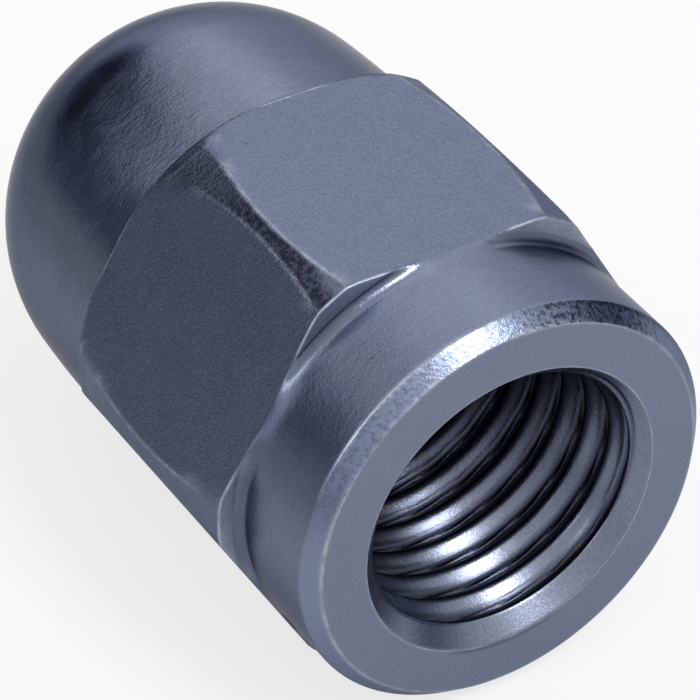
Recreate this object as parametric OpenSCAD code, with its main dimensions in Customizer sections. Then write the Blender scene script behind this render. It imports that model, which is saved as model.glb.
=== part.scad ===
// Closed suspension nut: a threaded collar, a long hexagon and a solid dome, forged in one piece.
// It lies on one flat of its hexagon, thread mouth towards -Y and dome towards +Y.
// Origin: on the surface it lies on, under the middle of its length. All sizes in millimetres.

/* [Hexagon] */
// Width across the flats
af = 17; // [15:0.5:24]
// Length of the hexagon, from the collar's shoulder to the dome
hex_len = 11.1; // [7:0.1:20]
// How far the highest point of a crowned corner lies inside the sharp corner
corner_cut = 0.155; // [0.05:0.005:0.4]
// Where that highest point lies, as a share of the hexagon's length from the shoulder
crown_share = 0.44; // [0.35:0.01:0.6]
// Drop of the crowned corner from there to the shoulder
crown_drop = 0.28; // [0.05:0.01:0.4]
// Rounding of the hexagon's end at the dome
end_round = 1.25; // [0.6:0.1:1.8]

/* [Collar] */
// Length of the collar, from the seat face to the hexagon's shoulder
collar_len = 4.6; // [2.5:0.1:10]
// Step from a flat down to the collar
collar_step = 0.1; // [0.05:0.01:0.6]
// Width of the seat chamfer, measured on the radius
seat_chamfer_w = 0.55; // [0.2:0.05:0.8]
// Length of the seat chamfer, measured along the axis
seat_chamfer_len = 0.6; // [0.2:0.05:1.5]
// Fillet in the corner between collar and shoulder
shoulder_fillet = 0.45; // [0.2:0.05:0.8]

/* [Dome] */
// Step from a flat down to the dome's straight side
dome_step = 0.07; // [0.03:0.01:0.3]
// Length of the dome's straight side
dome_side_len = 4.9; // [1:0.1:12]
// Radius of the small flat on the dome's nose
nose_r = 0.9; // [0.3:0.1:3]

/* [Thread] */
// Nominal diameter of the thread, also the mouth of the countersink
thread_d = 12; // [8:0.5:13]
// Height of the thread's ridges, from nominal diameter to the drilled bore
thread_height = 0.7; // [0.3:0.05:1]
// Full angle of the countersink
countersink_angle = 90; // [60:5:120]
// Full angle of the drill point at the bore's end
drill_angle = 118; // [90:2:140]
// Solid metal left between the drill point and the dome's nose
end_wall = 5.2; // [3:0.1:9]

/* [Hidden] */
$fn = 96;
eps = 0.01;
steel = [0.47, 0.50, 0.58];

// radii, from the flats outwards and inwards
flat_r = af / 2;
sharp_r = flat_r / cos(30);
crown_r = sharp_r - corner_cut;
collar_r = flat_r - collar_step;
seat_r = collar_r - seat_chamfer_w;
dome_r = flat_r - dome_step;
dome_round = dome_r - nose_r;
mouth_r = thread_d / 2;
bore_r = mouth_r - thread_height;

// stations along the axis, from the seat face
hex_start = collar_len;
crown_station = collar_len + crown_share * hex_len;
hex_end = collar_len + hex_len;
round_station = hex_end - end_round;
dome_round_start = hex_end + dome_side_len;
total_len = dome_round_start + dome_round;
countersink_len = thread_height / tan(countersink_angle / 2);
drill_point_len = bore_r / tan(drill_angle / 2);
bore_end = total_len - end_wall - drill_point_len;

// radius of the arc that crowns the corners, and the crown's own radius where the end's round starts
crown_arc_r = (pow(crown_share * hex_len, 2) + pow(crown_drop, 2)) / (2 * crown_drop);
round_r = crown_r - crown_arc_r + sqrt(pow(crown_arc_r, 2) - pow(round_station - crown_station, 2));

// a rectangle of the half section: radii r0 to r1, stations s0 to s1
module band(r0, r1, s0, s1) {
    translate([r0, s0]) square([r1 - r0, s1 - s0]);
}

// collar with its seat chamfer and the concave fillet under the shoulder
module collar_section() {
    difference() {
        band(0, collar_r, 0, hex_start + eps);
        translate([seat_r, 0])
            polygon([[0, -eps], [0, 0], [seat_chamfer_w, seat_chamfer_len],
                     [seat_chamfer_w + 1, seat_chamfer_len], [seat_chamfer_w + 1, -eps]]);
    }
    difference() {
        band(collar_r - eps, collar_r + shoulder_fillet, hex_start - shoulder_fillet, hex_start + eps);
        translate([collar_r + shoulder_fillet, hex_start - shoulder_fillet])
            circle(shoulder_fillet);
    }
}

// envelope of the hexagon: crowned along its length and rounded off at the dome
module hexagon_section() {
    intersection() {
        band(0, sharp_r, hex_start, hex_end);
        translate([crown_r - crown_arc_r, crown_station]) circle(crown_arc_r, $fn = 720);
        union() {
            band(0, sharp_r, hex_start, round_station);
            band(0, round_r - end_round, hex_start, hex_end);
            translate([round_r - end_round, round_station]) circle(end_round);
        }
    }
}

// straight side of the dome, its round and the small flat nose
module dome_section() {
    band(0, dome_r, round_station, dome_round_start);
    band(0, nose_r, dome_round_start - eps, total_len);
    intersection() {
        band(0, dome_r, dome_round_start, total_len);
        translate([nose_r, dome_round_start]) circle(dome_round);
    }
}

// the whole outside: one turned envelope with the six flats, which clear the collar and the dome
module outside() {
    intersection() {
        rotate_extrude() {
            collar_section();
            hexagon_section();
            dome_section();
        }
        translate([0, 0, -1]) cylinder(h = total_len + 2, r = sharp_r, $fn = 6);
    }
}

// drilled bore with its point and the countersunk mouth
module bore() {
    translate([0, 0, -1]) cylinder(h = bore_end + 1, r = bore_r);
    translate([0, 0, bore_end]) cylinder(h = drill_point_len, r1 = bore_r, r2 = 0);
    cylinder(h = countersink_len, r1 = mouth_r, r2 = bore_r);
    translate([0, 0, -1]) cylinder(h = 1, r = mouth_r);
}

// the nut standing on its seat face, thread axis along Z
module standing_nut() {
    difference() {
        outside();
        bore();
    }
}

module nut() {
    color(steel)
        translate([0, -total_len / 2, flat_r])
            rotate([-90, 0, 0])
                standing_nut();
}

nut();
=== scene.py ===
"""Closed suspension nut: the visible nut with its cut thread, its plated finish, floor, light and camera.

Sizes are in millimetres. A station is the distance along the axis from the seat face, a reach is the
distance from the axis, and an angle turns about the axis from straight up (+Z) towards +X.
"""
import logging
import math
from contextlib import contextmanager
from dataclasses import dataclass, field
from enum import Enum
from functools import cache
from typing import Iterator

import bpy
import numpy as np
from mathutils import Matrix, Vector


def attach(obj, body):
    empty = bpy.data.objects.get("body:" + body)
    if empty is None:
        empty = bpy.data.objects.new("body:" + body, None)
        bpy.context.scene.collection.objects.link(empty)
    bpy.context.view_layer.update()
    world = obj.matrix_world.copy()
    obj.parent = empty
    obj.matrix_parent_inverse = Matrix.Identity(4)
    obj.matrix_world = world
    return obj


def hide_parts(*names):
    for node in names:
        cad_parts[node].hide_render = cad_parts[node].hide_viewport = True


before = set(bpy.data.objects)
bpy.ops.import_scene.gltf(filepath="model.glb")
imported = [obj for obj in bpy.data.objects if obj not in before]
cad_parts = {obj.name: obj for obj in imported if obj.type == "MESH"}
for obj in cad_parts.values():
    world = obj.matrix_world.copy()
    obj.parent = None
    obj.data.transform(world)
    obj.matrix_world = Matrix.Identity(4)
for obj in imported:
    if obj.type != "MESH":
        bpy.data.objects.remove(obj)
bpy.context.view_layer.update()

log = logging.getLogger("suspension_nut")

MM = 0.001
FULL_TURN = 2 * math.pi
SIXTH = math.pi / 3
SAME_PLACE = 5e-7
Point = tuple[float, float]
Triple = tuple[float, float, float]
Many = tuple[float, ...]
Socket = bpy.types.NodeSocket


# ---- bench work

class Bench:
    """The hand tools that every piece is made with."""

    @staticmethod
    def clear() -> None:
        """Leave edit mode and select nothing."""
        if bpy.context.object is not None and bpy.context.object.mode != "OBJECT":
            bpy.ops.object.mode_set(mode="OBJECT")
        bpy.ops.object.select_all(action="DESELECT")

    @staticmethod
    @contextmanager
    def editing(piece: bpy.types.Object) -> Iterator[None]:
        """Hold one piece in edit mode with all of it selected.

        Args:
            piece: The mesh object to edit.
        """
        Bench.clear()
        piece.select_set(True)
        bpy.context.view_layer.objects.active = piece
        bpy.ops.object.mode_set(mode="EDIT")
        bpy.ops.mesh.select_all(action="SELECT")
        yield
        bpy.ops.object.mode_set(mode="OBJECT")


def soft_min(a: np.ndarray, b: np.ndarray, blend: float) -> np.ndarray:
    """Lesser of two values, rounded where they cross and differ by less than the blend."""
    overlap = np.clip(blend - np.abs(a - b), 0.0, None)
    return np.minimum(a, b) - overlap * overlap / (4.0 * blend)


def soft_max(a: np.ndarray, b: np.ndarray, blend: float) -> np.ndarray:
    """Greater of two values, rounded as in soft_min."""
    return -soft_min(-a, -b, blend)


def grow(value: np.ndarray, start: float, length: float) -> np.ndarray:
    """Rise evenly from 0 at a start to 1 a length further on, or further back where the length is below 0."""
    return np.clip((value - start) / length, 0.0, 1.0)


def bell(value: np.ndarray, centre: object, width: float) -> np.ndarray:
    """Mark a line with 1 at its centre, falling off softly over its width on both sides."""
    return np.exp(-((value - centre) / width) ** 2)


# ---- the nut's forms

@dataclass(frozen=True)
class Spots:
    """Points of the turned blank, by angle in radians, station and reach."""

    angle: np.ndarray
    station: np.ndarray
    reach: np.ndarray

    @property
    def degrees(self) -> np.ndarray:
        """Angles in degrees, from -180 to 180."""
        return np.degrees(self.angle)

    @property
    def turn(self) -> np.ndarray:
        """Angles in degrees, from 0 to 360."""
        return np.mod(self.degrees, 360.0)


@dataclass(frozen=True)
class Collar:
    """The round threaded end with its seat chamfer and the fillet under the shoulder."""

    radius: float = 8.4
    length: float = 4.6
    seat_radius: float = 7.85
    chamfer_length: float = 0.6
    fillet: float = 0.45
    seat_edge: float = 0.05
    seat_edge_start: float = 0.55
    face_reaches: Many = (6.25, 6.6, 7.0, 7.35, 7.6, 7.74)
    chamfer_stop: Point = (0.03, 0.045)
    chamfer_shares: Many = (0.2, 0.4, 0.6, 0.8, 1.0)
    rim_steps: tuple[Point, ...] = ((0.01, 0.02), (0.05, 0.006), (0.1, 0.0))
    side_stations: Many = (0.8, 0.95, 1.2, 1.6, 2.0, 2.4, 2.8, 3.2, 3.6, 3.9, 4.05)

    def section(self) -> list[Point]:
        """Trace the collar from the end face to the shoulder.

        Returns:
            Stations and reaches of the turned outline.
        """
        rings = [(0.0, reach) for reach in self.face_reaches]
        slope = math.atan2(self.radius - self.seat_radius, self.chamfer_length)
        for turn in (0.0, 0.25, 0.5, 0.75, 1.0):
            bend = (math.pi / 2 - slope) * turn
            rings.append((self.seat_edge * (1 - math.cos(bend)),
                          self.seat_radius - self.seat_edge * (self.seat_edge_start - math.sin(bend))))
        first = rings[-1]
        last = (self.chamfer_length - self.chamfer_stop[0], self.radius - self.chamfer_stop[1])
        for share in self.chamfer_shares:
            rings.append((first[0] + (last[0] - first[0]) * share, first[1] + (last[1] - first[1]) * share))
        rings += [(self.chamfer_length + along, self.radius - drop) for along, drop in self.rim_steps]
        rings += [(station, self.radius) for station in self.side_stations]
        for degrees in range(0, 81, 8):
            bend = math.radians(degrees)
            rings.append((self.length - self.fillet + self.fillet * math.sin(bend),
                          self.radius + self.fillet - self.fillet * math.cos(bend)))
        return rings


@dataclass(frozen=True)
class Hexagon:
    """The long hexagon: six flats milled on a crowned barrel, each corner pressed a little differently."""

    across_flats: float = 17.0
    start: float = 4.6
    end: float = 15.7
    crown_radius: float = 9.66
    crown_station: float = 9.484
    crown_arc: float = 42.73
    end_round: float = 1.25
    first_gap: float = 0.003
    shoulder_edge: float = 0.08
    shoulder_reach: float = 8.85
    shoulder_turns: Many = (0, 12, 25, 38, 50, 62, 75, 90)
    near_steps: Many = (0.12, 0.18, 0.26, 0.38, 0.55, 0.8)
    far_steps: Many = (0.2, 0.08)
    collar_radius: float = 8.4
    blend_length: float = 0.9
    blend_reach: float = 8.66
    blend_span: float = 0.13
    corner_edge: float = 0.05
    corner_lift: Many = (0.085, 0.0, -0.03, 0.02, -0.07, -0.02)
    corner_lean: Many = (0.016, 0.004, -0.006, 0.005, 0.004, -0.009)
    fade_gap: float = 0.04
    fade_length: float = 0.25

    @property
    def flat_reach(self) -> float:
        """Distance from the axis to a flat."""
        return self.across_flats / 2

    @property
    def round_station(self) -> float:
        """Station where the round at the dome's end starts."""
        return self.end - self.end_round

    def crown(self, station: float) -> float:
        """Reach of the crowned corners at a station."""
        rise = math.sqrt(self.crown_arc ** 2 - (station - self.crown_station) ** 2)
        return self.crown_radius - self.crown_arc + rise

    def section(self, dome_radius: float) -> list[Point]:
        """Trace the barrel from the shoulder to the dome.

        Args:
            dome_radius: Reach at which the end's round meets the dome.

        Returns:
            Stations and reaches of the turned outline.
        """
        stations = [self.start + self.first_gap + self.shoulder_edge * (1 - math.cos(math.radians(degrees)))
                    for degrees in self.shoulder_turns]
        stations += [self.start + step for step in self.near_steps]
        stations += list(np.linspace(self.start + 1.1, self.round_station - 0.35, 20))
        stations += [self.round_station - step for step in self.far_steps]
        rings = [(station, self.crown(station)) for station in stations]
        centre = self.crown(self.round_station) - self.end_round
        stop = math.degrees(math.acos((dome_radius - centre) / self.end_round))
        for degrees in np.linspace(0.0, stop, 26):
            bend = math.radians(float(degrees))
            rings.append((self.round_station + self.end_round * math.sin(bend),
                          centre + self.end_round * math.cos(bend)))
        return rings

    def flats(self, spots: Spots) -> np.ndarray:
        """Reach of the six flats' planes at each point's angle."""
        turned = np.mod(spots.angle + SIXTH / 2, SIXTH) - SIXTH / 2
        return self.flat_reach / np.cos(turned)

    @staticmethod
    def corner(spots: Spots) -> np.ndarray:
        """Number of the corner that each point belongs to, from 0 to 5."""
        return np.mod(np.floor(spots.angle / SIXTH), 6).astype(int)

    def lifts(self, spots: Spots) -> np.ndarray:
        """Work out how far each corner stands off the even barrel.

        Args:
            spots: The points.

        Returns:
            Change of reach, fading out towards the dome.
        """
        corner = self.corner(spots)
        lean = np.asarray(self.corner_lean)[corner] * (spots.station - self.crown_station)
        fade = grow(spots.station, self.end - self.fade_gap, -self.fade_length)
        return (np.asarray(self.corner_lift)[corner] + lean) * fade

    def mill(self, spots: Spots) -> np.ndarray:
        """Bring points of the blank in to the flats, and run each flat's middle gently down to the collar.

        Args:
            spots: The points.

        Returns:
            The milled reaches, with the edges left a little round.
        """
        flats, station = self.flats(spots), spots.station
        within = (station > self.start) & (station < self.end)
        barrel = np.where(within, spots.reach + self.lifts(spots), spots.reach)
        top = soft_min(barrel, flats, self.corner_edge)
        edge = np.clip(top - self.shoulder_reach, 0.0, self.shoulder_edge)
        rise = grow(station, self.start + self.first_gap + self.shoulder_edge, -self.shoulder_edge)
        milled = np.where(within, top - edge * (1 - np.sqrt(np.clip(1 - rise * rise, 0.0, 1.0))), top)
        run = grow(station - self.start, -self.blend_length, self.blend_length)
        gentle = self.collar_radius + (flats - self.collar_radius) * run * run * (3 - 2 * run)
        beside = (station > self.start - self.blend_length) & ~within
        share = grow(flats, self.blend_reach, -self.blend_span) * beside
        return np.where(station < self.start, milled + (gentle - milled) * share, milled)


@dataclass(frozen=True)
class Dome:
    """The closed end: a straight side, a round and a small flat nose."""

    radius: float = 8.43
    bow_start: float = 17.0
    bow_turn: float = 4.2
    nose: float = 0.9
    length: float = 28.13

    def section(self, start: float) -> list[Point]:
        """Trace the dome from the hexagon to the nose.

        Args:
            start: Station where the hexagon's end round meets the dome.

        Returns:
            Stations and reaches of the turned outline, ending on the axis.
        """
        turn = math.radians(self.bow_turn)
        arc = self.radius - self.nose
        for _ in range(30):
            join = self.length - arc * (1 - math.sin(turn))
            drop = math.tan(turn) * (join - self.bow_start) / 2
            arc = (self.radius - drop - self.nose) / math.cos(turn)
        rings = [(start + step, self.radius) for step in (0.02, 0.06, 0.12, 0.25, 0.5)]
        for station in np.linspace(start + 1.0, join, 12):
            bow = max(0.0, float(station) - self.bow_start) / (join - self.bow_start)
            rings.append((float(station), self.radius - drop * bow * bow))
        for degrees in np.linspace(self.bow_turn + 3.0, 90.0, 25):
            bend = math.radians(float(degrees))
            rings.append((self.length - arc * (1 - math.sin(bend)), self.nose + arc * math.cos(bend)))
        return rings + [(self.length, self.nose * 0.66), (self.length, self.nose * 0.33), (self.length, 0.0)]


@dataclass(frozen=True)
class Thread:
    """The drilled, countersunk and tapped bore: a right-hand metric thread of 1.5 mm pitch."""

    mouth_radius: float = 6.0
    crest_radius: float = 5.3
    flank_radius: float = 5.72
    root_radius: float = 6.0
    root_share: float = 0.2
    pitch: float = 1.5
    ridge_power: float = 0.85
    phase_station: float = 3.46
    phase_angle: float = 145.7
    lead_floor: float = 0.55
    lead_start: float = 0.7
    lead_length: float = 2.0
    lead_height: float = 0.04
    lead_width: float = 0.055
    lead_station: float = 0.86
    lead_angle: float = 170.0
    lead_from: Point = (15.0, 25.0)
    lead_to: Point = (200.0, -25.0)
    mouth_blend: float = 0.05
    tapped: float = 16.2
    runout: float = 0.9
    drilled: float = 19.745
    point: float = 22.93
    point_shares: Many = (0.1, 0.3, 0.55, 0.8, 1.0)
    plain_stations: Many = (19.2, 18.4, 17.6)
    deep_run: Triple = (17.1, 10.6, -0.15)
    front_run: Triple = (10.5, 0.79, -0.08)
    lip: tuple[Point, ...] = ((0.02, 5.985), (0.008, 6.0), (0.0, 6.02), (0.0, 6.08))

    def section(self) -> list[Point]:
        """Trace the plain bore from the drill point out to the mouth.

        Returns:
            Stations and reaches, starting on the axis.
        """
        rings = [(self.point, 0.0)]
        rings += [(self.point + (self.drilled - self.point) * share, self.crest_radius * share)
                  for share in self.point_shares]
        stations = (*self.plain_stations, *np.arange(*self.deep_run), *np.arange(*self.front_run))
        rings += [(float(station), self.crest_radius) for station in stations]
        rings += [(float(station), self.mouth_radius - float(station)) for station in np.linspace(0.72, 0.04, 15)]
        return rings + list(self.lip)

    def holds(self, station: np.ndarray, reach: np.ndarray, slack: float) -> np.ndarray:
        """Tell which points lie in the bore, up to a slack outside the mouth's edge."""
        return (reach < self.mouth_radius + slack) & (station < self.point + 0.1)

    def cut(self, spots: Spots) -> np.ndarray:
        """Work out the reach of the tapped bore.

        Args:
            spots: The points.

        Returns:
            Reach of thread or countersink, whichever lies further out.
        """
        station = spots.station
        turns = (spots.angle - math.radians(self.phase_angle)) / FULL_TURN
        along = (station - self.phase_station) / self.pitch - turns
        off = np.abs(along - np.round(along)) * 2
        flank = np.power(0.5 - 0.5 * np.cos(math.pi * off), self.ridge_power)
        root = grow(off - 1.0, -self.root_share, self.root_share)
        depth = (self.flank_radius - self.crest_radius) * flank + (self.root_radius - self.flank_radius) * root
        lead = np.clip(self.lead_floor + (station - self.lead_start) / self.lead_length, self.lead_floor, 1.0)
        runout = grow(station, self.tapped + self.runout, -self.runout)
        countersink = self.mouth_radius - station + self.lead_height * self.lead_line(spots)
        return soft_max(self.crest_radius + depth * lead * runout, countersink, self.mouth_blend)

    def lead_line(self, spots: Spots) -> np.ndarray:
        """Mark the first shallow turn of the thread where it crosses the countersink.

        Args:
            spots: The points.

        Returns:
            1 in the middle of the turn, falling off beside it.
        """
        track = self.lead_station - (self.lead_angle - spots.turn) / 360.0 * self.pitch
        window = grow(spots.turn, *self.lead_from) * grow(spots.turn, *self.lead_to)
        return window * bell(spots.station, track, self.lead_width)


@dataclass(frozen=True)
class WearAndPaintedLight:
    """Marks that use, plating and tools have left, with painted shade and painted highlights among them, as a share at
    each point.

    A rise is where it starts and how long it is, and a line is where it lies and how wide it is. Of the pairs
    that are neither, the first is a base and the second is what a rise adds to it.
    """

    collar: Collar
    hexagon: Hexagon
    thread: Thread
    corner_skin: Many = (0.1, 0.5, 0.3, 0.6, 0.08, 1.0)
    strip_rise: Point = (-0.018, 0.06)
    strip_margin: float = 0.05
    skin_bound: Point = (0.8, 2.7)
    skin_bound_rise: Point = (5.3, 1.6)
    skin_side_rise: Point = (-1.0, 2.0)
    skin_far_side: float = 0.35
    skin_thinning: Point = (10.0, 4.5)
    skin_left: float = 0.3
    rubbed_share: float = 0.3
    rubbed_rise: Point = (11.0, 3.0)
    long_edge_width: float = 0.035
    shoulder_line: Point = (0.04, 0.05)
    shoulder_reach: float = 8.9
    seat_line: Point = (0.01, 0.03)
    seat_width: float = 0.05
    # Painted highlight along the chamfer's rim, on one side only.
    rim_highlight_width: float = 0.06
    rim_highlight_side: Point = (-35.0, 28.0)
    end_line: Point = (-0.11, 0.06)
    end_reach: float = 9.3
    end_gain: float = 1.7
    # Painted highlight along the fillet's outer line under the shoulder.
    seam_highlight_width: float = 0.035
    seam_highlight_reach: float = 8.88
    seam_highlight_margin: float = 0.1
    mouth_line: Point = (0.02, 0.03)
    # Painted shade in the bore: at its sides away from the unshaded angle, deeper down and in the thread's roots;
    # root_share sets how dark the painted shade in the roots is.
    unshaded_angle: float = 170.0
    side_shade_rise: Point = (12.0, 35.0)
    side_shade_mouth_rise: Point = (1.0, 1.0)
    side_shade_shares: Point = (0.22, 0.5)
    side_shade_depth_rise: Point = (2.5, 6.0)
    deep_shade_share: float = 0.35
    deep_shade_rise: Point = (4.0, 8.0)
    lead_share: float = 0.6
    root_share: float = 0.93
    root_shade_rise: Point = (5.56, 0.12)
    root_shade_start: float = 0.8
    joint_width: float = 0.045
    chamfer_line: Point = (-0.07, 0.05)
    chamfer_reach: float = 8.2
    chamfer_from: Point = (-68.0, 10.0)
    chamfer_to: Point = (70.0, -20.0)
    # Painted shade in the fillet under the shoulder.
    fillet_shade_share: float = 0.45
    fillet_shade_rise: Point = (-0.45, 0.25)
    fillet_shade_reach_rise: Point = (8.56, 0.4)
    lip_line: Point = (6.05, 0.045)
    lip_angle: float = 182.0
    lip_fall: Point = (24.0, -10.0)

    def strip(self, spots: Spots) -> tuple[np.ndarray, np.ndarray, np.ndarray]:
        """Find the corner strips.

        Args:
            spots: The points.

        Returns:
            Which points lie along the hexagon, their gap to the flats' planes, and 1 on a strip and 0 elsewhere.
        """
        gap = self.hexagon.flats(spots) - spots.reach - self.hexagon.lifts(spots)
        within = (spots.station > self.hexagon.start) & (spots.station < self.hexagon.end - self.strip_margin)
        return within, gap, np.where(within, grow(gap, *self.strip_rise), 0.0)

    def corner(self, spots: Spots) -> np.ndarray:
        """Mark the dark skin left on the corner strips.

        Args:
            spots: The points.

        Returns:
            1 where the skin is whole, 0 where there is none.
        """
        skin = np.asarray(self.corner_skin)[self.hexagon.corner(spots)]
        off = np.degrees(np.mod(spots.angle, SIXTH)) - 30.0
        bound = self.skin_bound[0] + self.skin_bound[1] * grow(spots.station, *self.skin_bound_rise)
        side = 1.0 - grow(off - bound, *self.skin_side_rise)
        start, length = self.skin_thinning
        left = np.clip(1.0 - (1.0 - self.skin_left) * (spots.station - start) / length, self.skin_left, 1.0)
        return self.strip(spots)[2] * skin * (self.skin_far_side + (1.0 - self.skin_far_side) * side) * left

    def edge(self, spots: Spots) -> np.ndarray:
        """Mark the edges that handling has rubbed bright, and painted highlights on the chamfer's rim and on the
        fillet's outer line.

        Args:
            spots: The points.

        Returns:
            1 on an edge, falling off beside it.
        """
        station, reach, flats = spots.station, spots.reach, self.hexagon.flats(spots)
        within, gap, strip = self.strip(spots)
        rubbed = self.rubbed_share * strip * grow(station, *self.rubbed_rise)
        long_edge = np.where(within, bell(gap, 0.0, self.long_edge_width), 0.0)
        shoulder = bell(station - self.hexagon.start, *self.shoulder_line) * (within & (flats > self.shoulder_reach))
        seat = bell(station, *self.seat_line) * bell(reach, self.collar.seat_radius, self.seat_width)
        # Painted highlight along the chamfer's rim, on one side only.
        rim = bell(station, self.collar.chamfer_length, self.rim_highlight_width) * bell(spots.degrees, *self.rim_highlight_side)
        mouth = bell(reach - self.thread.mouth_radius, *self.mouth_line) * (station < self.mouth_line[1])
        end = bell(station - self.hexagon.end, *self.end_line) * (flats < self.end_reach) * self.end_gain
        # Painted highlight along the fillet's outer line under the shoulder.
        beside = (np.abs(station - self.collar.length) < self.seam_highlight_margin) & (flats > self.seam_highlight_reach)
        fillet_line_highlight = bell(reach - self.collar.radius, self.collar.fillet, self.seam_highlight_width) * beside
        return np.maximum.reduce([rubbed, long_edge, shoulder, seat, rim, mouth, end, fillet_line_highlight])

    def bore_shade_and_lead_line(self, spots: Spots, cut_reach: np.ndarray) -> np.ndarray:
        """Mark painted shade in the bore: deeper down, at its sides and in the thread's roots, with the dark line along
        the thread's first turn.

        Args:
            spots: The points.
            cut_reach: Reaches of the cut thread.

        Returns:
            1 where the painted shade is deepest, 0 where the plating shows its own colour.
        """
        station = spots.station
        # Painted shade at the bore's sides, growing away from the lit bottom and in from the mouth.
        beside = grow(np.abs(spots.turn - self.unshaded_angle), *self.side_shade_rise)
        side = beside * grow(station, *self.side_shade_mouth_rise)
        side = side * (self.side_shade_shares[0] + self.side_shade_shares[1] * grow(station, *self.side_shade_depth_rise))
        # Painted shade deeper down the bore.
        deep = self.deep_shade_share * grow(station, *self.deep_shade_rise)
        # Painted shade in the thread's roots.
        root = self.root_share * grow(cut_reach, *self.root_shade_rise) * (station > self.root_shade_start)
        return np.maximum.reduce([side, deep, self.lead_share * self.thread.lead_line(spots), root])

    def joint(self, spots: Spots) -> np.ndarray:
        """Mark the dark lines where two surfaces meet on the outside, and painted shade in the fillet under the
        shoulder.

        Args:
            spots: The points.

        Returns:
            1 on a line, falling off beside it.
        """
        station, reach = spots.station, spots.reach
        end = bell(station, self.hexagon.end, self.joint_width)
        window = grow(spots.degrees, *self.chamfer_from) * grow(spots.degrees, *self.chamfer_to)
        chamfer = bell(station - self.collar.chamfer_length, *self.chamfer_line) * window * (reach > self.chamfer_reach)
        # Painted shade in the fillet under the shoulder.
        bend = grow(station - self.hexagon.start, *self.fillet_shade_rise) * (station < self.hexagon.start)
        bend = self.fillet_shade_share * bend * grow(self.hexagon.flats(spots), *self.fillet_shade_reach_rise)
        lip = bell(reach, *self.lip_line) * (station < 0.01)
        lip = lip * grow(np.abs(spots.turn - self.lip_angle), *self.lip_fall)
        return np.maximum.reduce([end, chamfer, bend, lip])


class Zone(Enum):
    """The surfaces of the nut that carry their own finish."""

    END_FACE = 0
    SEAT = 1
    COLLAR = 2
    HEXAGON = 3
    DOME = 4
    BORE = 5
    SHOULDER = 6


# ---- shader bench

class Sheet:
    """A node tree that is filled in from left to right."""

    def __init__(self, tree: bpy.types.NodeTree) -> None:
        """Start on an emptied tree.

        Args:
            tree: The material's, group's or world's node tree.
        """
        tree.nodes.clear()
        self.tree = tree
        self.column = 0

    def add(self, kind: str, inputs: dict[object, object] | None = None, **settings: object) -> bpy.types.Node:
        """Place one node, set it and wire it.

        Args:
            kind: Blender's identifier of the node's type.
            inputs: Sockets by name or index, each with a plain value or a socket to link from.
            settings: Values for the node's own properties.

        Returns:
            The new node.
        """
        node = self.tree.nodes.new(kind)
        self.column += 1
        node.location = (self.column % 12 * 190.0, -(self.column // 12) * 260.0)
        for name, value in settings.items():
            setattr(node, name, value)
        for name, value in (inputs or {}).items():
            socket = node.inputs[name]
            if isinstance(value, Socket):
                self.tree.links.new(value, socket)
            else:
                socket.default_value = value
        return node

    def math(self, operation: str, *values: object, clamp: bool = False) -> Socket:
        """Combine numbers or sockets with one Math node, held between 0 and 1 with clamp."""
        return self.add("ShaderNodeMath", dict(enumerate(values)), operation=operation, use_clamp=clamp).outputs[0]

    def mask(self, name: str) -> Socket:
        """Read one of the piece's own attributes."""
        return self.add("ShaderNodeAttribute", attribute_name=name).outputs["Fac"]

    def rays(self) -> tuple[Socket, Socket]:
        """Tell the camera's own rays and those that come by way of metal or glass."""
        rays = self.add("ShaderNodeLightPath").outputs
        return rays["Is Camera Ray"], self.math("MAXIMUM", rays["Is Glossy Ray"], rays["Is Transmission Ray"])

    def ramp(self, value: object, low: float, high: float, start: float = 0.0, stop: float = 1.0) -> Socket:
        """Map a value smoothly from the span low to high to the span start to stop."""
        spans = {"Value": value, "From Min": low, "From Max": high, "To Min": start, "To Max": stop}
        return self.add("ShaderNodeMapRange", spans, interpolation_type="SMOOTHSTEP").outputs[0]

    def vary(self, noise: object, spread: float, middle: float = 1.0, half: float = 0.2) -> Socket:
        """Make a value that varies about a middle by a spread, from half a noise's span to either side of 0.5."""
        return self.ramp(noise, 0.5 - half, 0.5 + half, middle - spread, middle + spread)

    def mix(self, share: object, first: object, second: object, blend: str = "MIX") -> Socket:
        """Mix two colours, with a share of 0 for the first and 1 for the second."""
        return self.add("ShaderNodeMix", {0: share, 6: first, 7: second}, data_type="RGBA", blend_type=blend).outputs[2]

    def blend(self, share: object, first: object, second: object) -> Socket:
        """Mix two values, with a share of 0 for the first and 1 for the second."""
        return self.add("ShaderNodeMix", {0: share, 2: first, 3: second}, data_type="FLOAT").outputs[0]

    def along(self, vector: object, way: Triple) -> Socket:
        """Measure a vector along a direction."""
        return self.add("ShaderNodeVectorMath", {0: vector, 1: way}, operation="DOT_PRODUCT").outputs["Value"]

    def noise(self, vector: object, size: float, detail: float = 2.0, rough: float = 0.5,
              twist: float = 0.0) -> Socket:
        """Place a noise whose features have a size in the vector's unit, with finer layers and a twist."""
        return self.add("ShaderNodeTexNoise", {"Vector": vector, "Scale": 1.0 / size, "Detail": detail,
                                               "Roughness": rough, "Distortion": twist}).outputs[0]


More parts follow.
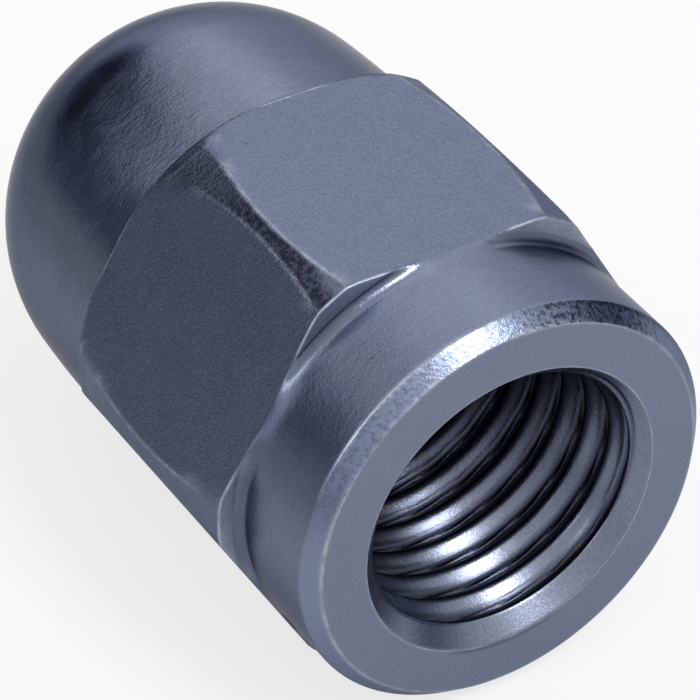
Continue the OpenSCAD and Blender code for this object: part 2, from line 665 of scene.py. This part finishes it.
class Effects:
    """Node groups that every finish of the nut shares, each built once. Their sizes are in millimetres."""

    SEAT_PLACE = (0.0, 14.065, -8.5)
    STRETCH = (9.0, 1.0, 9.0)
    RINGS_IN_MM = 14.0
    FINE_GRAIN = 0.075
    MIDDLE_GRAIN = 0.21
    PATCH = 1.7
    PIT_SPACING = 0.9
    PIT_DEPTH = 0.35
    BREAK = 0.9

    @staticmethod
    def start(name: str, *inputs: str) -> tuple[Sheet, dict[str, Socket]]:
        """Open a new group.

        Args:
            name: The group's name.
            inputs: Names of its inputs, of which only Edge is a plain value.

        Returns:
            The group's sheet and its input sockets.
        """
        sheet = Sheet(bpy.data.node_groups.new(name, "ShaderNodeTree"))
        for label in inputs:
            kind = "NodeSocketFloat" if label == "Edge" else "NodeSocketVector"
            sheet.tree.interface.new_socket(label, in_out="INPUT", socket_type=kind)
        return sheet, sheet.add("NodeGroupInput").outputs

    @staticmethod
    def close(sheet: Sheet, results: dict[str, Socket]) -> bpy.types.NodeTree:
        """Give a group its outputs.

        Args:
            sheet: The group's sheet.
            results: Sockets to put out, by name.

        Returns:
            The finished group.
        """
        for label, socket in results.items():
            kind = "NodeSocketVector" if socket.type == "VECTOR" else "NodeSocketFloat"
            sheet.tree.interface.new_socket(label, in_out="OUTPUT", socket_type=kind)
        sheet.add("NodeGroupOutput", results)
        return sheet.tree

    @classmethod
    @cache
    def axis_frame(cls) -> bpy.types.NodeTree:
        """Give coordinates in millimetres about the nut's axis."""
        sheet, entry = cls.start("axis_frame", "Object")
        place = sheet.add("ShaderNodeMapping", {"Vector": entry["Object"], "Location": cls.SEAT_PLACE,
                                                "Scale": (1 / MM, 1 / MM, 1 / MM)}).outputs[0]
        across, along, up = sheet.add("ShaderNodeSeparateXYZ", {0: place}).outputs
        spoke = sheet.add("ShaderNodeCombineXYZ", {0: across, 2: up}).outputs[0]
        reach = sheet.add("ShaderNodeVectorMath", {0: spoke}, operation="LENGTH").outputs["Value"]
        around = sheet.add("ShaderNodeVectorMath", {0: spoke}, operation="NORMALIZE").outputs[0]
        slow = sheet.add("ShaderNodeVectorMath", {0: around, 1: cls.STRETCH}, operation="MULTIPLY").outputs[0]
        turned = sheet.add("ShaderNodeSeparateXYZ", {0: slow}).outputs
        depth = sheet.math("MULTIPLY", sheet.math("ADD", along, reach), cls.RINGS_IN_MM)
        rings = sheet.add("ShaderNodeCombineXYZ", {0: turned[0], 1: depth, 2: turned[2]}).outputs[0]
        lengths = sheet.add("ShaderNodeVectorMath", {0: place, 1: cls.STRETCH}, operation="MULTIPLY").outputs[0]
        return cls.close(sheet, {"Place": place, "Rings": rings, "Lengths": lengths, "Station": along,
                                 "Angle": sheet.math("ARCTAN2", across, up)})

    @classmethod
    @cache
    def plated_grain(cls) -> bpy.types.NodeTree:
        """Give the fine pitted skin of electroplated steel as a height and as dark specks."""
        sheet, entry = cls.start("plated_grain", "Place")
        place = entry["Place"]
        fine = sheet.noise(place, cls.FINE_GRAIN, 2.0, 0.6)
        middle = sheet.noise(place, cls.MIDDLE_GRAIN, 3.0, 0.65, 0.4)
        height = sheet.math("ADD", sheet.math("MULTIPLY", fine, 0.45), sheet.math("MULTIPLY", middle, 0.55))
        cells = sheet.add("ShaderNodeTexVoronoi", {"Vector": place, "Scale": 1.0 / cls.PIT_SPACING}).outputs
        pick = sheet.add("ShaderNodeSeparateColor", {0: cells["Color"]}).outputs[0]
        pits = sheet.math("MULTIPLY", sheet.ramp(cells["Distance"], 0.03, 0.075, 1.0, 0.0), sheet.ramp(pick, 0.82, 0.9))
        return cls.close(sheet, {"Height": sheet.math("SUBTRACT", height, sheet.math("MULTIPLY", pits, cls.PIT_DEPTH)),
                                 "Specks": sheet.math("MAXIMUM", pits, sheet.ramp(middle, 0.28, 0.18)),
                                 "Fine": fine, "Patches": sheet.noise(place, cls.PATCH, 3.0, 0.6, 0.6)})

    @classmethod
    @cache
    def edge_polish_and_highlight(cls) -> bpy.types.NodeTree:
        """Give the broken bright line that handling leaves on an edge, and the painted highlights that the edge mask
        holds.
        """
        sheet, entry = cls.start("edge_polish_and_highlight", "Place", "Edge")
        broken = sheet.ramp(sheet.noise(entry["Place"], cls.BREAK, 4.0, 0.7), 0.35, 0.65, 0.25, 0.8)
        return cls.close(sheet, {"Polish_and_highlight": sheet.math("MULTIPLY", entry["Edge"], broken)})


@dataclass(frozen=True)
class PlatedSteel:
    """One finish of the zinc-plated steel.

    The depths are in millimetres, the colours are linear.
    """

    name: str
    colour: Triple = (0.185, 0.22, 0.315)
    dark: Triple = (0.022, 0.025, 0.042)
    shine: Triple = (0.42, 0.46, 0.55)
    glancing: Triple = (0.5, 0.52, 0.56)
    roughness: float = 0.3
    roughness_span: float = 0.03
    polish_gloss: float = 0.08
    grain_depth: float = 0.02
    ring_depth: float = 0.0
    lay_depth: float = 0.0
    speck_share: float = 0.35
    patch_share: float = 0.02
    fine_share: float = 0.06
    streak_share: float = 0.0
    glint_share: float = 0.0
    corner_darkness: float = 0.0
    blotch_size: float = 0.22
    blotch_share: float = 0.32
    # Share of dark joint lines and painted shade mixed towards the dark colour.
    dark_lines_and_shade_share: float = 0.0
    chatter_depth: float = 0.0
    chatter_bars: float = 42.0
    chatter_skew: float = 2.5
    chatter_breaks: float = 6.5

    def coat(self, sheet: Sheet, place: Socket, grain: object, rings: Socket, polish_and_highlight: Socket) -> Socket:
        """Mix the colour of the plating with its specks, dark skin, dark lines, painted shade, rubbed edges and painted
        highlights.

        Args:
            sheet: The material's sheet.
            place: Coordinates in millimetres.
            grain: Outputs of the grain.
            rings: Noise in rings about the axis.
            polish_and_highlight: Share of rubbed metal and painted highlight.

        Returns:
            The colour's socket.
        """
        dark = (*self.dark, 1.0)
        tone = sheet.math("MULTIPLY", sheet.vary(grain["Patches"], self.patch_share),
                          sheet.vary(grain["Fine"], self.fine_share))
        tone = sheet.math("MULTIPLY", tone, sheet.vary(rings, self.streak_share, half=0.15))
        base = sheet.mix(1.0, (*self.colour, 1.0), tone, "MULTIPLY")
        specks = sheet.math("MULTIPLY", grain["Specks"], self.speck_share)
        if self.corner_darkness:
            blotch = sheet.ramp(sheet.noise(place, self.blotch_size, 3.0, 0.7), 0.62, 0.42)
            cover = sheet.math("MULTIPLY_ADD", blotch, self.blotch_share, 1.0 - self.blotch_share)
            cover = sheet.math("MULTIPLY", cover, self.corner_darkness)
            specks = sheet.math("MAXIMUM", specks, sheet.math("MULTIPLY", sheet.mask("corner"), cover))
        base = sheet.mix(specks, base, dark)
        # Dark joint lines, with painted shade in the bore and in the fillet under the shoulder, darken the colour here.
        if self.dark_lines_and_shade_share:
            base = sheet.mix(sheet.math("MULTIPLY", sheet.mask("dark_lines_and_shade"), self.dark_lines_and_shade_share), base, dark)
        glints = sheet.math("MULTIPLY", sheet.ramp(grain["Fine"], 0.64, 0.72), self.glint_share)
        # Rubbed edges and painted highlights, with the glints, mix towards the shine colour here.
        return sheet.mix(sheet.math("MAXIMUM", polish_and_highlight, glints), base, (*self.shine, 1.0))

    def chatter(self, sheet: Sheet, axis: object) -> tuple[Socket, Socket]:
        """Draw the bars that a chattering tool leaves round the top of a chamfer.

        Args:
            sheet: The material's sheet.
            axis: Outputs of the coordinates about the axis.

        Returns:
            Height of the bars and share of dark chips among them.
        """
        angle, station = axis["Angle"], axis["Station"]
        skew = sheet.math("ADD", sheet.math("MULTIPLY", angle, self.chatter_bars),
                          sheet.math("MULTIPLY", station, self.chatter_skew))
        breaks = sheet.math("MULTIPLY", station, self.chatter_breaks)
        bars = sheet.add("ShaderNodeCombineXYZ", {0: skew, 1: breaks}).outputs[0]
        wave = sheet.noise(bars, 1.0, 3.0, 0.65)
        patch = sheet.math("ADD", sheet.ramp(angle, -1.4, -0.9, 0.0, 0.35), sheet.ramp(angle, -0.1, 0.25, 0.0, 0.5))
        patch = sheet.math("MULTIPLY", patch, sheet.ramp(angle, 1.0, 0.6))
        chips = sheet.math("MULTIPLY", sheet.ramp(wave, 0.48, 0.6), patch, clamp=True)
        return sheet.math("MULTIPLY", wave, patch), chips

    def build(self) -> bpy.types.Material:
        """Make the material.

        Returns:
            The material, reading object coordinates and the nut's own attributes.
        """
        material = bpy.data.materials.new(self.name)
        material.use_nodes = True
        sheet = Sheet(material.node_tree)
        coords = sheet.add("ShaderNodeTexCoord").outputs["Object"]
        axis = sheet.add("ShaderNodeGroup", {"Object": coords}, node_tree=Effects.axis_frame()).outputs
        place = axis["Place"]
        grain = sheet.add("ShaderNodeGroup", {"Place": place}, node_tree=Effects.plated_grain()).outputs
        polish_and_highlight = sheet.add("ShaderNodeGroup", {"Place": place, "Edge": sheet.mask("edge")},
                           node_tree=Effects.edge_polish_and_highlight()).outputs["Polish_and_highlight"]
        rings = sheet.noise(axis["Rings"], 1.0, 3.0, 0.6)
        base = self.coat(sheet, place, grain, rings, polish_and_highlight)
        rough = sheet.vary(grain["Patches"], self.roughness_span / 2, self.roughness)
        rough = sheet.math("SUBTRACT", rough, sheet.math("MULTIPLY", polish_and_highlight, self.polish_gloss))

        reliefs = [(grain["Height"], self.grain_depth)]
        if self.ring_depth:
            fading = sheet.ramp(grain["Patches"], 0.4, 0.6, 0.25, 1.0)
            reliefs.append((sheet.math("MULTIPLY", rings, fading), self.ring_depth))
        if self.lay_depth:
            reliefs.append((sheet.noise(axis["Lengths"], 1.0, 2.0, 0.6), self.lay_depth))
        if self.chatter_depth:
            bars, chips = self.chatter(sheet, axis)
            base = sheet.mix(chips, base, (*self.dark, 1.0))
            reliefs.append((bars, self.chatter_depth))
        height = 0.0
        for relief, depth in reliefs:
            height = sheet.math("MULTIPLY_ADD", relief, depth, height)
        bump = sheet.add("ShaderNodeBump", {"Strength": 1.0, "Distance": MM, "Height": height}).outputs[0]
        shader = sheet.add("ShaderNodeBsdfPrincipled", {"Base Color": base, "Roughness": rough, "Normal": bump,
                                                        "Metallic": 1.0, "Specular Tint": (*self.glancing, 1.0)})
        sheet.add("ShaderNodeOutputMaterial", {"Surface": shader.outputs[0]})
        return material


FINISHES = {
    Zone.END_FACE: PlatedSteel(
        "seat_face_zinc", colour=(0.185, 0.213, 0.292), roughness=0.36, grain_depth=0.014, ring_depth=0.003,
        speck_share=0.2, fine_share=0.12, dark_lines_and_shade_share=0.8),
    Zone.SEAT: PlatedSteel(
        "seat_chamfer_zinc", roughness=0.26, grain_depth=0.014, speck_share=0.2, dark_lines_and_shade_share=0.8,
        chatter_depth=0.02),
    Zone.COLLAR: PlatedSteel(
        "collar_zinc", colour=(0.178, 0.207, 0.287), roughness=0.24, grain_depth=0.014, ring_depth=0.005,
        speck_share=0.3, fine_share=0.1, streak_share=0.05, dark_lines_and_shade_share=1.0),
    Zone.HEXAGON: PlatedSteel(
        "hexagon_zinc", colour=(0.16, 0.19, 0.27), roughness=0.28, grain_depth=0.034, lay_depth=0.002,
        speck_share=0.4, fine_share=0.16, glint_share=0.05, corner_darkness=1.0, dark_lines_and_shade_share=0.5),
    Zone.DOME: PlatedSteel(
        "dome_zinc", colour=(0.18, 0.208, 0.284), roughness=0.19, grain_depth=0.013, ring_depth=0.009,
        fine_share=0.12, streak_share=0.06, dark_lines_and_shade_share=0.9),
    Zone.BORE: PlatedSteel(
        "thread_zinc", colour=(0.175, 0.198, 0.264), roughness=0.27, grain_depth=0.01, ring_depth=0.002,
        fine_share=0.16, dark_lines_and_shade_share=0.9),
    Zone.SHOULDER: PlatedSteel(
        "shoulder_zinc", colour=(0.21, 0.232, 0.3), roughness=0.45, grain_depth=0.012, speck_share=0.2),
}


# ---- the piece

@dataclass
class SuspensionNut:
    """The one-piece nut: turned blank, milled hexagon, tapped bore and finish."""

    collar: Collar = field(default_factory=Collar)
    hexagon: Hexagon = field(default_factory=Hexagon)
    dome: Dome = field(default_factory=Dome)
    thread: Thread = field(default_factory=Thread)
    axis_height: float = 8.5
    start_angle: float = 30.0
    half_corner: tuple[float, int] = (4.0, 8)
    corner_arc: tuple[float, int] = (8.0, 16)
    flat_arc: tuple[float, int] = (52.0, 20)
    piece: bpy.types.Object | None = None

    @property
    def seat_place(self) -> float:
        """Where the seat face lies on Y."""
        return -self.dome.length / 2

    def section(self) -> list[Point]:
        """Trace the whole half section, from the drill point through the mouth to the nose."""
        barrel = self.hexagon.section(self.dome.radius)
        return self.thread.section() + self.collar.section() + barrel + self.dome.section(barrel[-1][0])

    def turn_blank(self) -> None:
        """Draw the half section as a chain of edges and spin it into the turned blank."""
        Bench.clear()
        bpy.ops.mesh.primitive_plane_add(size=MM, location=(0.0, 0.0, 0.0))
        self.piece = bpy.context.object
        self.piece.name = self.piece.data.name = "suspension_nut"
        facing = math.radians(self.start_angle)
        points = [Vector((r * math.sin(facing), s + self.seat_place, r * math.cos(facing) + self.axis_height)) * MM
                  for s, r in self.section()]
        with Bench.editing(self.piece):
            bpy.ops.mesh.merge(type="CENTER")
            bpy.ops.transform.translate(value=points[0])
            for here, there in zip(points, points[1:]):
                bpy.ops.mesh.extrude_vertices_move(TRANSFORM_OT_translate={"value": there - here})
            bpy.ops.mesh.select_all(action="SELECT")
            half_corner, flat, corner = self.half_corner, self.flat_arc, self.corner_arc
            for degrees, steps in [half_corner] + [flat, corner] * 5 + [flat, half_corner]:
                bpy.ops.mesh.spin(steps=steps, angle=math.radians(degrees), center=(0.0, 0.0, self.axis_height * MM),
                                  axis=(0.0, 1.0, 0.0), use_auto_merge=False)
            bpy.ops.mesh.select_all(action="SELECT")
            bpy.ops.mesh.remove_doubles(threshold=SAME_PLACE)
            bpy.ops.mesh.normals_make_consistent(inside=False)

    def cut_forms(self) -> None:
        """Mill the flats, tap the bore and note edges with painted highlights, corners, and dark lines with painted
        shade as attributes.
        """
        mesh = self.piece.data
        flat = np.empty(len(mesh.vertices) * 3, dtype=np.float32)
        mesh.vertices.foreach_get("co", flat)
        place = flat.reshape(-1, 3).astype(np.float64) / MM
        across, up = place[:, 0], place[:, 2] - self.axis_height
        spots = Spots(np.arctan2(across, up), place[:, 1] - self.seat_place, np.hypot(across, up))
        bore = self.thread.holds(spots.station, spots.reach, 0.01)
        tapped = bore & (spots.station < self.thread.drilled - 0.01) & (spots.station > 0.03)
        new_reach = np.where(tapped, self.thread.cut(spots), np.where(bore, spots.reach, self.hexagon.mill(spots)))
        scale = new_reach / np.maximum(spots.reach, 1e-6)
        place[:, 0], place[:, 2] = across * scale, up * scale + self.axis_height
        mesh.vertices.foreach_set("co", (place * MM).astype(np.float32).ravel())
        mesh.update()
        wear_and_light = WearAndPaintedLight(self.collar, self.hexagon, self.thread)
        self.note(mesh, "corner", np.where(bore, 0.0, wear_and_light.corner(spots)))
        self.note(mesh, "edge", np.where(bore, 0.0, wear_and_light.edge(spots)))
        # The bore gets painted shade and a dark line on its first turn, the outside dark joint lines and painted shade
        # in the fillet.
        self.note(mesh, "dark_lines_and_shade", np.where(bore, wear_and_light.bore_shade_and_lead_line(spots, new_reach), wear_and_light.joint(spots)))

    @staticmethod
    def note(mesh: bpy.types.Mesh, name: str, values: np.ndarray) -> None:
        """Store one value for each vertex under a name."""
        mesh.attributes.new(name, "FLOAT", "POINT").data.foreach_set("value", values.astype(np.float32))

    def finish_surface(self) -> None:
        """Shade the faces smooth, with the large faces leading."""
        Bench.clear()
        self.piece.select_set(True)
        bpy.context.view_layer.objects.active = self.piece
        bpy.ops.object.shade_smooth()
        bpy.ops.object.modifier_add(type="WEIGHTED_NORMAL")
        modifier = self.piece.modifiers[-1]
        modifier.weight, modifier.mode = 50, "FACE_AREA"
        bpy.ops.object.modifier_apply(modifier=modifier.name)

    def zones(self) -> np.ndarray:
        """Sort the faces by the surface that they belong to.

        Returns:
            One zone number for each face.
        """
        mesh = self.piece.data
        centres = np.empty(len(mesh.polygons) * 3, dtype=np.float32)
        mesh.polygons.foreach_get("center", centres)
        place = centres.reshape(-1, 3) / MM
        station = place[:, 1] - self.seat_place
        reach = np.hypot(place[:, 0], place[:, 2] - self.axis_height)
        zone = np.full(len(station), Zone.DOME.value, dtype=np.int32)
        zone[station < self.hexagon.end - 0.03] = Zone.HEXAGON.value
        shoulder_inside = self.collar.radius + self.collar.fillet - 0.05
        zone[(station < self.hexagon.start + 0.04) & (reach > shoulder_inside)] = Zone.SHOULDER.value
        zone[station < self.hexagon.start - 0.005] = Zone.COLLAR.value
        zone[station < self.collar.chamfer_length + 0.02] = Zone.SEAT.value
        zone[station < 0.004] = Zone.END_FACE.value
        zone[self.thread.holds(station, reach, 0.02)] = Zone.BORE.value
        return zone

    def dress(self) -> None:
        """Give each surface its finish."""
        mesh = self.piece.data
        for zone in Zone:
            mesh.materials.append(FINISHES[zone].build())
        mesh.polygons.foreach_set("material_index", self.zones())
        mesh.update()

    def build(self) -> bpy.types.Object:
        """Make the whole nut.

        Returns:
            The finished mesh object.
        """
        self.turn_blank()
        self.cut_forms()
        self.finish_surface()
        self.dress()
        log.info("%s: %d vertices, %d faces", self.piece.name, len(self.piece.data.vertices),
                 len(self.piece.data.polygons))
        return self.piece


# ---- the studio

def heading(azimuth: float, elevation: float) -> Triple:
    """Unit vector at an azimuth, in degrees from -Y towards +X, and an elevation above the floor."""
    a, e = math.radians(azimuth), math.radians(elevation)
    return (math.sin(a) * math.cos(e), -math.cos(a) * math.cos(e), math.sin(e))


@dataclass(frozen=True)
class Card:
    """A soft-edged card in the room that the metal mirrors: dark below level 1, bright above it."""

    azimuth: float
    elevation: float
    inner: float
    outer: float
    level: float

    @property
    def way(self) -> Triple:
        """Direction in which the card hangs."""
        return heading(self.azimuth, self.elevation)


CARDS = (
    Card(-166, 20, 14, 25, 0.02),
    Card(-139, 8, 10, 25, 0.16),
    Card(80, 17, 8, 27, 0.1),
    Card(-12, 42, 12, 40, 1.1),
    Card(6, 49, 5, 18, 2.0),
    Card(-82, 30, 7, 17, 3.0),
    Card(180, 64, 5, 18, 1.18),
    Card(153, 36, 4, 13, 1.4),
)


@dataclass
class Studio:
    """Pale floor, soft light and camera. Distances are in metres, the camera's place in millimetres."""

    floor_size: float = 4.0
    key_direction: Triple = (0.122, -0.531, 0.839)
    key_distance: float = 0.4
    key_size: float = 0.14
    key_power: float = 0.65
    ambient: float = 0.65
    paint_level: float = 0.93
    seen_glow: float = 0.75
    mirrored_glow: float = 0.2
    # Painted shade on the floor towards the back left, seen only by mirrored rays.
    floor_shade_heading: Point = (-120.0, 0.0)
    floor_shade_run: Point = (0.004, 0.05)
    floor_shade_level: float = 0.5
    room_rise: Many = (0.0, 0.6, 0.8, 1.0)
    ceiling_rise: Many = (0.65, 0.9, 0.0, 0.3)
    shade_tint: Triple = (0.78, 0.9, 1.35)
    camera_place: Triple = (-63.306, -103.837, 100.948)
    camera_turn: Triple = (52.1082, -0.8073, -31.5278)
    lens: float = 208.878

    def lay_floor(self) -> bpy.types.Object:
        """Lay the pale floor under the nut, with painted shade towards its back left that only mirrored rays see.

        Returns:
            The floor's object.
        """
        Bench.clear()
        bpy.ops.mesh.primitive_plane_add(size=self.floor_size, location=(0.0, 0.0, 0.0))
        floor = bpy.context.object
        floor.name = floor.data.name = "floor"
        with Bench.editing(floor):
            bpy.ops.mesh.subdivide(number_cuts=3)
        material = bpy.data.materials.new("pale_floor")
        material.use_nodes = True
        sheet = Sheet(material.node_tree)
        seen, mirrored = sheet.rays()
        # Painted shade: mirrored rays see the floor darker towards the back left.
        toward_floor_shade = sheet.along(sheet.add("ShaderNodeTexCoord").outputs["Object"], heading(*self.floor_shade_heading))
        floor_shade_fall = sheet.ramp(toward_floor_shade, *self.floor_shade_run, 1.0, self.floor_shade_level)
        level = sheet.blend(mirrored, 1.0, floor_shade_fall)
        colour = sheet.math("MULTIPLY", level, self.paint_level)
        paint = sheet.add("ShaderNodeBsdfDiffuse", {"Color": colour}).outputs[0]
        glow = sheet.add("ShaderNodeEmission", {"Strength": level}).outputs[0]
        share = sheet.math("ADD", sheet.math("MULTIPLY", seen, self.seen_glow),
                           sheet.math("MULTIPLY", mirrored, self.mirrored_glow), clamp=True)
        both = sheet.add("ShaderNodeMixShader", {0: share, 1: paint, 2: glow}).outputs[0]
        sheet.add("ShaderNodeOutputMaterial", {"Surface": both})
        floor.data.materials.append(material)
        return floor

    def hang_light(self) -> bpy.types.Object:
        """Hang the soft box over the front of the nut.

        Returns:
            The lamp's object.
        """
        aim = Vector((0.0, 0.0, self.key_distance * 0.02))
        way = Vector(self.key_direction).normalized()
        Bench.clear()
        bpy.ops.object.light_add(type="AREA", location=aim + way * self.key_distance)
        lamp = bpy.context.object
        lamp.name = "soft_box"
        lamp.rotation_euler = way.to_track_quat("Z", "Y").to_euler()
        lamp.data.shape = "RECTANGLE"
        lamp.data.size = self.key_size
        lamp.data.size_y = self.key_size
        lamp.data.energy = self.key_power
        return lamp

    def set_world(self) -> None:
        """Surround the nut with a pale room, hung with dark and bright cards, and with plain ambient light."""
        world = bpy.data.worlds.new("studio")
        bpy.context.scene.world = world
        world.use_nodes = True
        sheet = Sheet(world.node_tree)
        ray = sheet.add("ShaderNodeTexCoord").outputs["Generated"]
        seen, mirrored = sheet.rays()
        height = sheet.add("ShaderNodeSeparateXYZ", {0: ray}).outputs[2]
        room = sheet.math("ADD", sheet.ramp(height, *self.room_rise), sheet.ramp(height, *self.ceiling_rise))
        for card in CARDS:
            rim, core = math.cos(math.radians(card.outer)), math.cos(math.radians(card.inner))
            fade = sheet.ramp(sheet.along(ray, card.way), rim, core)
            if card.level < 1:
                room = sheet.math("MULTIPLY", room, sheet.math("MULTIPLY_ADD", fade, card.level - 1.0, 1.0))
            else:
                room = sheet.math("ADD", room, sheet.math("MULTIPLY", fade, card.level - 1.0))
        room = sheet.blend(mirrored, 1.0, room)
        level = sheet.blend(sheet.math("MAXIMUM", seen, mirrored), self.ambient, room)
        shade = sheet.math("MULTIPLY", sheet.math("SUBTRACT", 1.0, room, clamp=True), mirrored)
        tint = sheet.mix(shade, (1.0, 1.0, 1.0, 1.0), (*self.shade_tint, 1.0))
        air = sheet.add("ShaderNodeBackground", {"Color": tint, "Strength": level}).outputs[0]
        sheet.add("ShaderNodeOutputWorld", {"Surface": air})

    def place_camera(self) -> bpy.types.Object:
        """Set up the camera.

        Returns:
            The camera's object, also set as the scene's camera.
        """
        Bench.clear()
        bpy.ops.object.camera_add(location=Vector(self.camera_place) * MM,
                                  rotation=[math.radians(turn) for turn in self.camera_turn])
        camera = bpy.context.object
        camera.name = "camera"
        camera.data.sensor_width = 36.0
        camera.data.lens = self.lens
        camera.data.clip_start = 0.005
        camera.data.clip_end = 20.0
        bpy.context.scene.camera = camera
        return camera

    def build(self) -> None:
        """Set up floor, light, room and camera."""
        self.lay_floor()
        self.hang_light()
        self.set_world()
        self.place_camera()
        bpy.context.scene.view_settings.view_transform = "Standard"
        log.info("studio: floor, soft box, room and camera")


def main() -> None:
    """Build the nut and the studio and report each piece."""
    logging.basicConfig(level=logging.INFO, format="%(name)s %(message)s")
    nut = SuspensionNut().build()
    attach(nut, "root")
    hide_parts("nut")
    Studio().build()
    log.info("sizes written")


if __name__ == "__main__":
    main()
